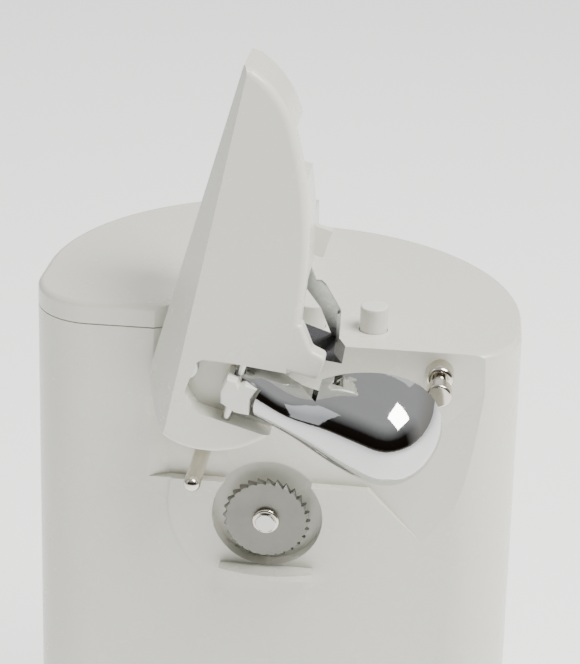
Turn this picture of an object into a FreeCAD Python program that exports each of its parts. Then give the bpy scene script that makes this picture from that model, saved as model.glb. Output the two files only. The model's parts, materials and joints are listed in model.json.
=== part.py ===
"""Electric can opener, tall table-top kind, with its cutting lever raised.

Frame: +X to the right seen from the front, +Y to the back, +Z up, in millimetres.
The origin is under the widest line of the body, on the surface that the feet stand on.
"""
import FreeCAD, Part
import math
import os
import Sketcher

V = FreeCAD.Vector
doc = FreeCAD.newDocument("can_opener")

# ---------------------------------------------------------------- driving dimensions
SIZES = {
    # body, measured from the widest line
    "body_height": 229.0,
    "half_width_top": 65.5,
    "half_width_base": 70.0,
    "front_top": 28.0,
    "front_base": 32.5,
    "back_top": 63.0,
    "back_base": 67.5,
    "corner_radius": 17.0,
    "wall": 2.5,
    "foot_height": 2.0,
    "plate_gap": 0.3,
    # cap and shelf
    "cap_height": 6.4,
    "shelf_drop": 8.7,
    "step_place": 4.0,
    "edge_round": 1.6,
    "seam_gap": 0.35,
    # front nest, pad, pocket and can rest
    "nest_floor": 26.5,
    "nest_left": -27.4,
    "nest_right": 60.8,
    "ledge_height": 179.0,
    "pad_radius": 27.3,
    "pad_proud": 0.5,
    "pocket_radius": 15.2,
    "pocket_floor": 25.8,
    "rest_width": 25.6,
    "rest_reach": 36.0,
    "rest_thickness": 2.2,
    # drive wheel and shaft
    "wheel_height": 169.5,
    "wheel_radius": 12.0,
    "wheel_teeth": 28.0,
    "wheel_tooth_depth": 1.3,
    "wheel_thickness": 2.0,
    "wheel_front": 31.7,
    "hex_flats": 5.2,
    "hex_stub": 2.2,
    "nut_radius": 3.7,
    "nut_thickness": 1.4,
    "shaft_radius": 4.0,
    "shoulder_radius": 5.2,
    "running_gap": 0.06,
    # gear train
    "pinion_teeth": 12.0,
    "final_teeth": 48.0,
    "final_module": 0.9,
    "middle_teeth": 50.0,
    "middle_module": 0.7,
    "first_teeth": 54.0,
    "first_module": 0.6,
    "gear_backlash": 0.12,
    "axle_radius": 2.0,
    "middle_offset": 15.5,
    "first_offset": 5.5,
    # gearbox
    "sheet": 1.5,
    "front_sheet_place": -20.5,
    "rear_sheet_place": 8.0,
    "gearbox_half_width": 36.0,
    "spacer_radius": 4.0,
    "spacer_offset": 30.5,
    "screw_radius": 1.6,
    # motor
    "rotor_radius": 11.8,
    "air_gap": 0.4,
    "stack_thickness": 18.0,
    "stack_half_width": 29.0,
    "stack_front": 14.0,
    "rotor_shaft_radius": 2.0,
    "coil_build": 7.5,
    # shelf plungers
    "plunger_radius": 3.7,
    "plunger_height": 7.0,
    "plunger_travel": 3.0,
    "plunger_gap": 0.2,
    "plunger_line": -14.0,
    "lift_plunger_place": 9.4,
    "switch_plunger_place": 26.0,
    # posts
    "guide_radius": 2.25,
    "guide_place": -18.2,
    "guide_height": 186.5,
    "guide_reach": 47.0,
    "post_place": 44.6,
    "post_height": 214.8,
    "post_reach": 41.6,
    "post_head_radius": 3.3,
    # lever
    "pivot_place": -19.8,
    "pivot_height": 219.8,
    "pivot_radius": 3.0,
    "lever_open_angle": 73.45,
    "lever_front": 48.0,
    "lever_back": 30.2,
    "lever_wall": 2.2,
    "deck_back": 7.0,
    "lever_tip": 60.0,
    "heel_reach": 20.6,
    "deck_thickness": 2.0,
    "ridge_fall": 9.6,
    "lever_edge": 2.0,
    # magnet arm, in the closed lever's frame
    "hinge_height": 206.0,
    "hinge_depth": 45.6,
    "hinge_pin_radius": 1.25,
    "bulb_half_width": 15.1,
    "bulb_height": 166.5,
    "bulb_depth": 23.0,
    "arm_bottom": 152.6,
    "magnet_radius": 9.0,
    "magnet_thickness": 5.0,
    # cord inlet
    "inlet_radius": 3.6,
    "inlet_height": 24.0,
}

sheet = doc.addObject("Spreadsheet::Sheet", "Dims")
for row, (alias, number) in enumerate(SIZES.items(), start=1):
    sheet.set("A%d" % row, alias.replace("_", " "))
    sheet.set("B%d" % row, repr(number))
    sheet.setAlias("B%d" % row, alias)
doc.recompute()


def size(alias):
    """The number that the sheet holds under an alias."""
    return float(getattr(sheet, alias))


PIECES = []


def keep(piece, label):
    """Gives a sub-part its label and lists it for export."""
    piece.Label = label
    PIECES.append(piece)
    return piece


# ---------------------------------------------------------------- small makers
ALONG_Y = FreeCAD.Rotation(V(1, 0, 0), -90)
UPRIGHT = FreeCAD.Rotation()


def cylinder(name, radius, height, place, turn=UPRIGHT):
    """A Part cylinder whose radius and height are expressions on the sheet."""
    rod = doc.addObject("Part::Cylinder", name)
    rod.setExpression("Radius", radius)
    rod.setExpression("Height", height)
    rod.Placement = FreeCAD.Placement(place, turn)
    return rod


def cut(name, base, tool):
    """A Part cut of one object by another."""
    result = doc.addObject("Part::Cut", name)
    result.Base = base
    result.Tool = tool
    return result


def tube(name, outer, inner, height, place, turn=UPRIGHT):
    """A round tube: a cylinder less a bore that runs past both ends."""
    skin = cylinder(name + "_outer", outer, height, place, turn)
    start = place - turn.multVec(V(0, 0, 1))
    bore = cylinder(name + "_bore", inner, "%s + 2" % height, start, turn)
    return cut(name, skin, bore)


def group(name, members):
    """One object that holds several separate solids."""
    result = doc.addObject("Part::Compound", name)
    result.Links = members
    return result


def feature(name, shape, place=V(0, 0, 0), turn=UPRIGHT):
    """A Part feature for a shape that no primitive or sketch gives."""
    result = doc.addObject("Part::Feature", name)
    result.Shape = shape
    result.Placement = FreeCAD.Placement(place, turn)
    return result


def block(low, high):
    """A box solid between two corners."""
    return Part.makeBox(high[0] - low[0], high[1] - low[1], high[2] - low[2], V(*low))


def rod_solid(radius, start, end):
    """A cylinder solid between two points."""
    axis = V(*end) - V(*start)
    return Part.makeCylinder(radius, axis.Length, V(*start), axis)


def face_prism(points, front, back):
    """A prism along Y over a closed outline of (x, z) points."""
    corners = [V(x, front, z) for x, z in points]
    face = Part.Face(Part.makePolygon(corners + corners[:1]))
    return face.extrude(V(0, back - front, 0))


def body_with_sketch(name, plane_role):
    """A PartDesign body with an empty sketch on one of its origin planes."""
    body = doc.addObject("PartDesign::Body", name)
    sketch = body.newObject("Sketcher::SketchObject", name + "_outline")
    plane = [f for f in body.Origin.OriginFeatures if f.Role == plane_role][0]
    sketch.AttachmentSupport = [(plane, "")]
    sketch.MapMode = "FlatFace"
    return body, sketch


def add_circle(sketch, alias, centre=(0.0, 0.0)):
    """A circle whose radius follows an expression on the sheet."""
    index = sketch.addGeometry(Part.Circle(V(centre[0], centre[1], 0), V(0, 0, 1), 1.0), False)
    if centre == (0.0, 0.0):
        sketch.addConstraint(Sketcher.Constraint("Coincident", index, 3, -1, 1))
    number = sketch.addConstraint(Sketcher.Constraint("Radius", index, 1.0))
    sketch.setExpression("Constraints[%d]" % number, alias)
    return index


def pad(body, sketch, length, name):
    """Pads a sketch by an expression on the sheet."""
    result = body.newObject("PartDesign::Pad", name + "_pad")
    result.Profile = sketch
    result.setExpression("Length", length)
    body.Tip = result
    return result


def ring_body(name, outer, inner, length, place, turn=ALONG_Y):
    """A padded ring: the shape of a washer, bush, bearing or collar."""
    body, sketch = body_with_sketch(name, "XY_Plane")
    add_circle(sketch, outer)
    add_circle(sketch, inner)
    doc.recompute()
    pad(body, sketch, length, name)
    body.Placement = FreeCAD.Placement(place, turn)
    return body


# ---------------------------------------------------------------- body outline
TOP = size("body_height")
FLOOR = size("foot_height")
SEAM = TOP - size("cap_height")
SHELF = TOP - size("shelf_drop")
WALL = size("wall")
STEP = size("step_place")


def drafted(alias, height):
    """A half-measure of the body at a height, on a straight draft from base to top."""
    low = size(alias + "_base")
    high = size(alias + "_top")
    return low + (high - low) * (height - FLOOR) / (TOP - FLOOR)


def outline(height, inset=0.0):
    """The D-shaped outline of the body: flat front, round corners, half an ellipse behind."""
    half = drafted("half_width", height) - inset
    front = -(drafted("front", height) - inset)
    back = drafted("back", height) - inset
    corner = size("corner_radius") - inset
    slant = corner * math.sqrt(0.5)
    edges = [Part.LineSegment(V(corner - half, front, height), V(half - corner, front, height))]
    edges.append(Part.Arc(V(half - corner, front, height),
                          V(half - corner + slant, front + corner - slant, height),
                          V(half, front + corner, height)))
    edges.append(Part.LineSegment(V(half, front + corner, height), V(half, 0, height)))
    long_way = half >= back
    axis = V(1, 0, 0) if long_way else V(0, 1, 0)
    major = V(half, 0, height) if long_way else V(0, back, height)
    minor = V(0, back, height) if long_way else V(-half, 0, height)
    ellipse = Part.Ellipse(major, minor, V(0, 0, height))
    start = 0.0 if long_way else -math.pi / 2
    edges.append(Part.ArcOfEllipse(ellipse, start, start + math.pi))
    edges.append(Part.LineSegment(V(-half, 0, height), V(-half, front + corner, height)))
    edges.append(Part.Arc(V(-half, front + corner, height),
                          V(corner - half - slant, front + corner - slant, height),
                          V(corner - half, front, height)))
    return Part.Wire([e.toShape() for e in edges])


def tower(low, high, inset=0.0):
    """The drafted solid over the body outline between two heights."""
    return Part.makeLoft([outline(low, inset), outline(high, inset)], True, True)


def round_edges(solid, radius, chosen):
    """Fillets the edges that a test picks."""
    edges = [e for e in solid.Edges if chosen(e)]
    return solid.makeFillet(radius, edges)


def level_edge(edge, height):
    """Whether an edge lies level at a height."""
    box = edge.BoundBox
    return abs(box.ZMin - height) < 0.01 and abs(box.ZMax - height) < 0.01


FAR = 400.0

# ---------------------------------------------------------------- main housing
WHEEL_Z = size("wheel_height")
SCREW = size("screw_radius")
SPACER_X = size("spacer_offset")
SPACER_TOP = WHEEL_Z + 8.0
SPACER_LOW = WHEEL_Z - 47.0
SPACER_SPOTS = [(x, z) for z in (SPACER_LOW, SPACER_TOP) for x in (-SPACER_X, SPACER_X)]
BASE_BOSSES = [(-62.0, -6.0), (62.0, -6.0), (-40.0, 47.5), (40.0, 47.5)]
BACKING = size("nest_floor") - 3.0
PLUNGER_SPOTS = {
    "lift": size("lift_plunger_place"),
    "switch": size("switch_plunger_place"),
}
BRACKET_X = (PLUNGER_SPOTS["lift"] - 9.0, PLUNGER_SPOTS["switch"] + 18.5)
BRACKET_Z = SHELF - WALL - 14.0


def nest_cut():
    """What is taken off the front so that the closed lever has room."""
    left = size("nest_left")
    right = size("nest_right")
    ledge = size("ledge_height")
    floor = -size("nest_floor")
    meet = size("pad_radius")
    wall_foot = SHELF - 6.5
    pocket = face_prism([(left, ledge), (meet, ledge), (right, wall_foot), (right, TOP + 1), (left, TOP + 1)],
                        -FAR, floor)
    # the floor runs out to the front face over a long shallow slope on the lower right side
    along = V(right - meet, 0, wall_foot - ledge)
    out = V(along.z, 0, -along.x).normalize()
    reach = 24.0
    rise = 3.2
    corner = V(meet, floor, ledge)
    slope = Part.Face(Part.makePolygon([
        corner,
        corner + out * reach + V(0, -rise, 0),
        corner + V(0, -FAR, 0),
        corner]))
    pocket = pocket.fuse(slope.extrude(along))
    # and over a shorter one on the left
    corner = V(left, floor, ledge)
    side = Part.Face(Part.makePolygon([
        corner,
        corner + V(-7.0, -rise, 0),
        corner + V(0, -FAR, 0),
        corner]))
    return pocket.fuse(side.extrude(V(0, 0, TOP + 1 - ledge)))


def front_pad():
    """The half-moon pad round the wheel pocket, level with the ledge at its top."""
    radius = size("pad_radius")
    centre = V(0, 0, size("ledge_height") - 7.0)
    disc = Part.makeCylinder(radius, FAR, centre - V(0, BACKING, 0), V(0, -1, 0))
    height = centre.z - radius
    skin = tower(height - 5, size("ledge_height"), -size("pad_proud"))
    return disc.common(skin)


def housing_shape():
    """The tall shell: walls, shelf, nest, pocket, and the bosses inside."""
    outer = tower(FLOOR, SEAM)
    shell = outer.cut(tower(FLOOR - 0.001, SHELF - WALL, WALL))
    backing = block((-34, -FAR, WHEEL_Z - 19.5), (size("nest_right") + 3, -BACKING, SHELF))
    shell = shell.fuse(backing.common(outer))
    # bosses for the gearbox, and under the shelf for the plunger bracket
    for x, z in SPACER_SPOTS:
        shell = shell.fuse(rod_solid(4.5, (x, size("front_sheet_place"), z), (x, -FAR, z)).common(outer))
    for x in BRACKET_X:
        boss = rod_solid(3.0, (x, size("plunger_line"), BRACKET_Z), (x, size("plunger_line"), SHELF - 1))
        shell = shell.fuse(boss)
    for x, y in BASE_BOSSES:
        shell = shell.fuse(rod_solid(6.0, (x, y, FLOOR + 3.0), (x, y, FLOOR + 26.0)).common(outer))
    # the shelf lies lower than the rim that carries the cap
    shell = shell.cut(block((STEP, -FAR, SHELF), (FAR, FAR, TOP)))
    well = tower(SHELF, SEAM + 0.001, WALL)
    shell = shell.cut(well.common(block((-FAR, -FAR, SHELF), (STEP + 0.001, FAR, TOP))))
    shell = round_edges(shell, size("edge_round"), lambda e: level_edge(e, SHELF)
                        and e.BoundBox.XMax > STEP + 1 and e.BoundBox.XMin > STEP - 0.1
                        and e.BoundBox.XMax - e.BoundBox.XMin + e.BoundBox.YMax - e.BoundBox.YMin > 8)
    shell = shell.fuse(front_pad())
    shell = shell.cut(nest_cut())
    # the wheel pocket, with a hole for the shaft's shoulder
    pocket = rod_solid(size("pocket_radius"), (0, -FAR, WHEEL_Z), (0, -size("pocket_floor"), WHEEL_Z))
    shell = shell.cut(pocket)
    shell = shell.cut(rod_solid(size("shoulder_radius") + 0.5, (0, -FAR, WHEEL_Z), (0, 0, WHEEL_Z)))
    # holes for the screws, the posts, the plungers, the can rest and the cord inlet
    for x, z in SPACER_SPOTS:
        shell = shell.cut(rod_solid(SCREW, (x, size("front_sheet_place") + 1, z), (x, -25.6, z)))
    for x in BRACKET_X:
        shell = shell.cut(rod_solid(1.2, (x, size("plunger_line"), BRACKET_Z - 1),
                                    (x, size("plunger_line"), BRACKET_Z + 12)))
    for x, y in BASE_BOSSES:
        shell = shell.cut(rod_solid(SCREW, (x, y, FLOOR), (x, y, FLOOR + 18)))
    pins = (
        (size("guide_place"), size("guide_height"), size("guide_radius")),
        (size("post_place"), size("post_height"), 2.0),
        (size("pivot_place"), size("pivot_height"), size("pivot_radius")),
    )
    for x, z, radius in pins:
        shell = shell.cut(rod_solid(radius, (x, -FAR, z), (x, 0, z)))
    shell = shell.cut(rod_solid(5.3, (size("pivot_place"), -BACKING, size("pivot_height")),
                                (size("pivot_place"), -BACKING + 2.4, size("pivot_height"))))
    for x in PLUNGER_SPOTS.values():
        shell = shell.cut(rod_solid(size("plunger_radius") + size("plunger_gap"),
                                    (x, size("plunger_line"), SHELF - 8), (x, size("plunger_line"), TOP)))
    shell = shell.cut(rest_tongue())
    return shell.cut(rod_solid(size("inlet_radius") + 2.0, (0, 0, size("inlet_height")),
                               (0, FAR, size("inlet_height")))).removeSplitter()


# ---------------------------------------------------------------- can rest
REST_TOP = WHEEL_Z - size("pocket_radius")


def rest_tongue():
    """The flat root that holds the can rest in the front wall."""
    half = size("rest_width") / 2 - 2.0
    return block((-half, -33.0, REST_TOP - size("rest_thickness") - 0.3), (half, -26.4, REST_TOP - 0.6))


def can_rest_shape():
    """A lip under the wheel that the side of the can leans on: flat top, bowed front."""
    half = size("rest_width") / 2
    reach = -size("rest_reach")
    face = -drafted("front", REST_TOP) - size("pad_proud") - 0.05
    front = Part.Arc(V(-half, reach + 2.4, 0), V(0, reach, 0), V(half, reach + 2.4, 0)).toShape()
    back = Part.LineSegment(V(half, face, 0), V(-half, face, 0)).toShape()
    right = Part.LineSegment(V(half, reach + 2.4, 0), V(half, face, 0)).toShape()
    left = Part.LineSegment(V(-half, face, 0), V(-half, reach + 2.4, 0)).toShape()
    lip = Part.Face(Part.Wire([front, right, back, left])).extrude(V(0, 0, -size("rest_thickness") - 0.6))
    lip.translate(V(0, 0, REST_TOP))
    under = face_profile_wedge(half, face, reach)
    lip = lip.cut(under)
    return lip.fuse(rest_tongue().common(block((-FAR, -33.0, 0), (FAR, FAR, FAR)))).removeSplitter()


def face_profile_wedge(half, face, reach):
    """The slope that thins the lip towards its front, from below."""
    bottom = REST_TOP - size("rest_thickness") - 0.6
    slope = Part.Face(Part.makePolygon([
        V(-half - 1, face - 2.0, bottom - 0.001),
        V(-half - 1, reach - 1, bottom - 0.001),
        V(-half - 1, reach - 1, REST_TOP - 1.0),
        V(-half - 1, face - 2.0, bottom - 0.001)]))
    return slope.extrude(V(2 * half + 2, 0, 0))


keep(feature("main_housing_shape", housing_shape()), "main_housing")
keep(feature("can_rest_shape", can_rest_shape()), "can_rest")


# ---------------------------------------------------------------- top cap
def cap_shape():
    """The higher cover over the left of the top, with a lip inside the housing's rim."""
    gap = size("seam_gap")
    left = block((-FAR, -FAR, 0), (STEP, FAR, FAR))
    skin = round_edges(tower(SEAM + gap, TOP), size("edge_round"), lambda e: level_edge(e, TOP)).common(left)
    room = tower(SEAM - 1, TOP - WALL, WALL).common(block((-FAR, -FAR, 0), (STEP - WALL, FAR, FAR)))
    skin = skin.cut(room)
    # the wall of the step reaches down to the shelf
    step_wall = tower(SHELF + gap, SEAM + 1, WALL + 0.2).common(block((STEP - WALL, -FAR, 0), (STEP, FAR, FAR)))
    skin = skin.fuse(step_wall)
    # a lip all round drops inside the rim of the housing
    lip = tower(SEAM - 1.6, SEAM + 1, WALL + 0.2).cut(tower(SEAM - 2, SEAM + 2, WALL + 1.8))
    lip = lip.common(block((-FAR, -FAR, 0), (STEP - WALL + 0.1, FAR, FAR)))
    lip = lip.cut(block((size("nest_left") - 10, -FAR, 0), (STEP + 1, -20.0, SEAM + gap)))
    return skin.fuse(lip).cut(nest_cut()).removeSplitter()


keep(feature("top_cap_shape", cap_shape()), "top_cap")


# ---------------------------------------------------------------- base
def base_plate_shape():
    """The flat cover that closes the bottom, with holes for its screws and feet."""
    gap = WALL + size("plate_gap")
    plate = Part.makeLoft([outline(FLOOR, gap), outline(FLOOR + WALL, gap)], True, True)
    for x, y in BASE_BOSSES:
        plate = plate.cut(rod_solid(SCREW + 0.3, (x, y, 0), (x, y, 20)))
    for x, y in foot_spots():
        plate = plate.cut(rod_solid(2.5, (x, y, 0), (x, y, 20)))
    return plate


def foot_spots():
    """Where the four feet stand, inside the corners of the outline."""
    side = size("half_width_base") - 20.0
    return [(-side, -size("front_base") + 13.0), (side, -size("front_base") + 13.0),
            (-side + 18.0, size("back_base") - 26.0), (side - 18.0, size("back_base") - 26.0)]


keep(feature("base_plate_shape", base_plate_shape()), "base_plate")

feet = []
for number, (x, y) in enumerate(foot_spots()):
    pad_part = cylinder("foot_pad_%d" % number, "6.5", "Dims.foot_height - 0.05", V(x, y, 0))
    stem = cylinder("foot_stem_%d" % number, "2.45", "Dims.wall + 1", V(x, y, size("foot_height") - 0.05))
    joined = doc.addObject("Part::Fuse", "foot_%d" % number)
    joined.Base = pad_part
    joined.Tool = stem
    feet.append(joined)
keep(group("feet", feet), "rubber_feet")

base_screws = []
for number, (x, y) in enumerate(BASE_BOSSES):
    shank = cylinder("base_shank_%d" % number, "Dims.screw_radius", "14.3", V(x, y, FLOOR - 0.1))
    head = cylinder("base_head_%d" % number, "2.9", "1.2", V(x, y, FLOOR - 1.2))
    joined = doc.addObject("Part::Fuse", "base_screw_%d" % number)
    joined.Base = shank
    joined.Tool = head
    base_screws.append(joined)
keep(group("screws_base", base_screws), "base_screws")


# ---------------------------------------------------------------- cord inlet
def inlet_shape():
    """The moulded bush in the back wall that the mains lead enters through."""
    wall_y = drafted("back", size("inlet_height"))
    height = size("inlet_height")
    radius = size("inlet_radius")
    bush = rod_solid(radius + 1.95, (0, wall_y - WALL - 3, height), (0, wall_y + 2.5, height))
    flange = rod_solid(radius + 4.0, (0, wall_y + 0.35, height), (0, wall_y + 2.5, height))
    nut = rod_solid(radius + 4.0, (0, wall_y - WALL - 3, height), (0, wall_y - WALL - 0.35, height))
    whole = bush.fuse(flange).fuse(nut)
    return whole.cut(rod_solid(radius, (0, 0, height), (0, FAR, height))).removeSplitter()


keep(feature("cord_inlet_shape", inlet_shape()), "cord_inlet")

# ---------------------------------------------------------------- gears
PRESSURE = math.radians(25.0)


def involute(angle):
    """The involute function."""
    return math.tan(angle) - angle


def gear_face(teeth, module, phase):
    """A spur gear's face in the XZ plane, one tooth centred on the phase angle."""
    pitch = teeth * module / 2
    base = pitch * math.cos(PRESSURE)
    root = pitch - 1.25 * module
    tip = pitch + module
    half_tooth = math.pi / (2 * teeth) - size("gear_backlash") / (2 * pitch) + involute(PRESSURE)
    start = max(base, root)
    radii = [start + (tip - start) * step / 3 for step in range(4)]
    flank = [(root, half_tooth if root < base else None)] if root < base else []
    flank += [(r, half_tooth - involute(math.acos(base / r))) for r in radii]
    points = []
    for tooth in range(int(teeth)):
        centre = phase + 2 * math.pi * tooth / teeth
        for side, run in ((-1, flank), (1, flank[::-1])):
            for radius, half in run:
                angle = centre + side * half
                points.append(V(radius * math.cos(angle), 0, radius * math.sin(angle)))
    return Part.Face(Part.makePolygon(points + points[:1]))


def gear_solid(teeth, module, phase, front, back, bore):
    """A spur gear about the Y axis between two depths."""
    face = gear_face(teeth, module, phase)
    face.translate(V(0, front, 0))
    gear = face.extrude(V(0, back - front, 0))
    return gear.cut(rod_solid(bore, (0, front - 1, 0), (0, back + 1, 0)))


def mesh_phase(phase, teeth, direction, mate_teeth):
    """The phase of a mate, so that its gap faces the tooth of the gear before it."""
    share = (direction - phase) * teeth / (2 * math.pi)
    return direction + math.pi - (0.5 - share) * 2 * math.pi / mate_teeth


def centre_distance(teeth, module):
    """How far apart a gear and a pinion turn."""
    return (teeth + size("pinion_teeth")) * module / 2


PINION = size("pinion_teeth")
final_gap = centre_distance(size("final_teeth"), size("final_module"))
middle_gap = centre_distance(size("middle_teeth"), size("middle_module"))
first_gap = centre_distance(size("first_teeth"), size("first_module"))
MIDDLE_X = size("middle_offset")
MIDDLE_Z = WHEEL_Z - math.sqrt(final_gap ** 2 - MIDDLE_X ** 2)
FIRST_X = size("first_offset")
FIRST_Z = MIDDLE_Z - math.sqrt(middle_gap ** 2 - (MIDDLE_X - FIRST_X) ** 2)
MOTOR_Z = FIRST_Z - math.sqrt(first_gap ** 2 - FIRST_X ** 2)

to_middle = math.atan2(MIDDLE_Z - WHEEL_Z, MIDDLE_X)
to_first = math.atan2(FIRST_Z - MIDDLE_Z, FIRST_X - MIDDLE_X)
to_motor = math.atan2(MOTOR_Z - FIRST_Z, -FIRST_X)
final_phase = 0.0
middle_pinion_phase = mesh_phase(final_phase, size("final_teeth"), to_middle, PINION)
middle_phase = 0.0
first_pinion_phase = mesh_phase(middle_phase, size("middle_teeth"), to_first, PINION)
first_phase = 0.0
motor_pinion_phase = mesh_phase(first_phase, size("first_teeth"), to_motor, PINION)

RUN = size("running_gap")
AXLE = size("axle_radius")
SHAFT = size("shaft_radius")
FRONT_SHEET = size("front_sheet_place")
REAR_SHEET = size("rear_sheet_place")
SHEET = size("sheet")


def final_gear_shape():
    """The large gear on the drive shaft, webbed, with a hub."""
    gear = gear_solid(size("final_teeth"), size("final_module"), final_phase, -15.0, -9.5, SHAFT)
    rim = size("final_teeth") * size("final_module") / 2 - 4.0
    web = rod_solid(rim, (0, -16, 0), (0, -13.2, 0)).cut(rod_solid(7.5, (0, -17, 0), (0, -12, 0)))
    return gear.cut(web)


def compound_gear(teeth, module, phase, gear_span, mate_module, pinion_phase, pinion_span):
    """A gear and a pinion moulded in one, running on a fixed axle."""
    gear = gear_solid(teeth, module, phase, gear_span[0], gear_span[1], AXLE + RUN)
    pinion = gear_solid(PINION, mate_module, pinion_phase, pinion_span[0], pinion_span[1], AXLE + RUN)
    return gear.fuse(pinion)


keep(feature("final_gear_shape", final_gear_shape(), V(0, 0, WHEEL_Z)), "final_gear")
keep(feature("second_gear_shape",
             compound_gear(size("middle_teeth"), size("middle_module"), middle_phase, (-8.0, -4.0),
                           size("final_module"), middle_pinion_phase, (-16.5, -7.5)),
             V(MIDDLE_X, 0, MIDDLE_Z)), "second_gear")
keep(feature("first_gear_shape",
             compound_gear(size("first_teeth"), size("first_module"), first_phase, (0.4, 4.4),
                           size("middle_module"), first_pinion_phase, (-8.6, 0.8)),
             V(FIRST_X, 0, FIRST_Z)), "first_gear")
keep(feature("motor_pinion_shape",
             gear_solid(PINION, size("first_module"), motor_pinion_phase, 0.0, 5.4,
                        size("rotor_shaft_radius")),
             V(0, 0, MOTOR_Z)), "motor_pinion")

for label, x, z in (("second_gear_axle", MIDDLE_X, MIDDLE_Z), ("first_gear_axle", FIRST_X, FIRST_Z)):
    axle = cylinder(label + "_rod", "Dims.axle_radius",
                    "Dims.rear_sheet_place - Dims.front_sheet_place + Dims.sheet",
                    V(x, FRONT_SHEET, z), ALONG_Y)
    keep(axle, label)


# ---------------------------------------------------------------- drive shaft and wheel
def hexagon(flats, front, back):
    """A hexagonal bar along Y."""
    reach = flats / 2 / math.cos(math.pi / 6)
    corners = [(reach * math.cos(math.pi / 3 * k), reach * math.sin(math.pi / 3 * k)) for k in range(6)]
    return face_prism(corners, front, back)


WHEEL_FRONT = -size("wheel_front")
WHEEL_BACK = WHEEL_FRONT + size("wheel_thickness")


def drive_shaft_shape():
    """The shaft: hexagonal stub in front, shoulder behind the wheel, plain journal, rear end."""
    stub = hexagon(size("hex_flats"), WHEEL_FRONT - size("hex_stub"), WHEEL_BACK)
    cone = Part.makeCone(size("hex_flats") / 2 - 0.1, size("hex_flats") / 2 + 3.0, 3.1,
                         V(0, WHEEL_FRONT - size("hex_stub"), 0), V(0, 1, 0))
    far_stub = rod_solid(9.0, (0, WHEEL_FRONT - size("hex_stub") + 3.1, 0), (0, WHEEL_BACK + 1, 0))
    stub = stub.common(cone.fuse(far_stub))
    shoulder = rod_solid(size("shoulder_radius"), (0, WHEEL_BACK, 0), (0, FRONT_SHEET - 3.0, 0))
    journal = rod_solid(SHAFT, (0, FRONT_SHEET - 3.0, 0), (0, REAR_SHEET + 4.0, 0))
    return stub.fuse(shoulder).fuse(journal).removeSplitter()


def drive_wheel_shape():
    """The toothed wheel that turns the can: saw teeth that lean one way."""
    count = int(size("wheel_teeth"))
    tip = size("wheel_radius")
    root = tip - size("wheel_tooth_depth")
    points = []
    for tooth in range(count):
        start = 2 * math.pi * tooth / count
        steep = start + 0.12 * 2 * math.pi / count
        points.append((tip * math.cos(start), tip * math.sin(start)))
        points.append((root * math.cos(steep), root * math.sin(steep)))
    wheel = face_prism(points, WHEEL_FRONT, WHEEL_BACK)
    bevel = Part.makeCone(tip - 0.9, tip + 1.1, 2.0, V(0, WHEEL_FRONT, 0), V(0, 1, 0))
    wheel = wheel.common(bevel)
    return wheel.cut(hexagon(size("hex_flats"), WHEEL_FRONT - 1, WHEEL_BACK + 1))


def wheel_nut_shape():
    """The polished collar that clamps the wheel, rounded at its front edge."""
    nut = rod_solid(size("nut_radius"), (0, WHEEL_FRONT - size("nut_thickness"), 0), (0, WHEEL_FRONT, 0))
    nut = round_edges(nut, 0.7, lambda e: abs(e.BoundBox.YMax - WHEEL_FRONT + size("nut_thickness")) < 0.01)
    return nut.cut(hexagon(size("hex_flats"), WHEEL_FRONT - 5, WHEEL_FRONT + 1))


AT_WHEEL = V(0, 0, WHEEL_Z)
keep(feature("drive_shaft_shape", drive_shaft_shape(), AT_WHEEL), "drive_shaft")
keep(feature("drive_wheel_shape", drive_wheel_shape(), AT_WHEEL), "drive_wheel")
keep(feature("wheel_nut_shape", wheel_nut_shape(), AT_WHEEL), "wheel_nut")
keep(ring_body("front_bushing_body", "Dims.shaft_radius + 2.2", "Dims.shaft_radius + Dims.running_gap", "4",
               V(0, FRONT_SHEET - 2.0, WHEEL_Z)), "front_bushing")
keep(ring_body("rear_bushing_body", "Dims.shaft_radius + 2.2", "Dims.shaft_radius + Dims.running_gap", "4",
               V(0, REAR_SHEET - 1.2, WHEEL_Z)), "rear_bushing")


# ---------------------------------------------------------------- gearbox sheets
def sheet_shape(place, low, high, motor_hole):
    """A pressed steel plate with holes for the shaft bush, axles, screws and motor."""
    half = size("gearbox_half_width")
    plate = block((-half, place, low), (half, place + SHEET, high))
    corners = [e for e in plate.Edges if abs(e.BoundBox.YMax - e.BoundBox.YMin - SHEET) < 0.01]
    plate = plate.makeFillet(5.0, corners)
    holes = [(0, WHEEL_Z, SHAFT + 2.2), (MIDDLE_X, MIDDLE_Z, AXLE), (FIRST_X, FIRST_Z, AXLE)]
    holes += [(x, z, SCREW + 0.2) for x, z in SPACER_SPOTS]
    if motor_hole:
        holes.append((0, MOTOR_Z, 6.0))
        holes += [(x, MOTOR_Z, SCREW) for x in MOTOR_SCREWS]
    for x, z, radius in holes:
        plate = plate.cut(rod_solid(radius, (x, place - 1, z), (x, place + SHEET + 1, z)))
    return plate


STACK_SIDE = size("stack_half_width")
MOTOR_SCREWS = (-STACK_SIDE + 5.0, STACK_SIDE - 5.0)
keep(feature("front_sheet", sheet_shape(FRONT_SHEET, SPACER_LOW - 7, SPACER_TOP + 16, False)),
     "gearbox_front_plate")
keep(feature("rear_sheet", sheet_shape(REAR_SHEET, MOTOR_Z - 12, SPACER_TOP + 16, True)),
     "gearbox_rear_plate")

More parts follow.
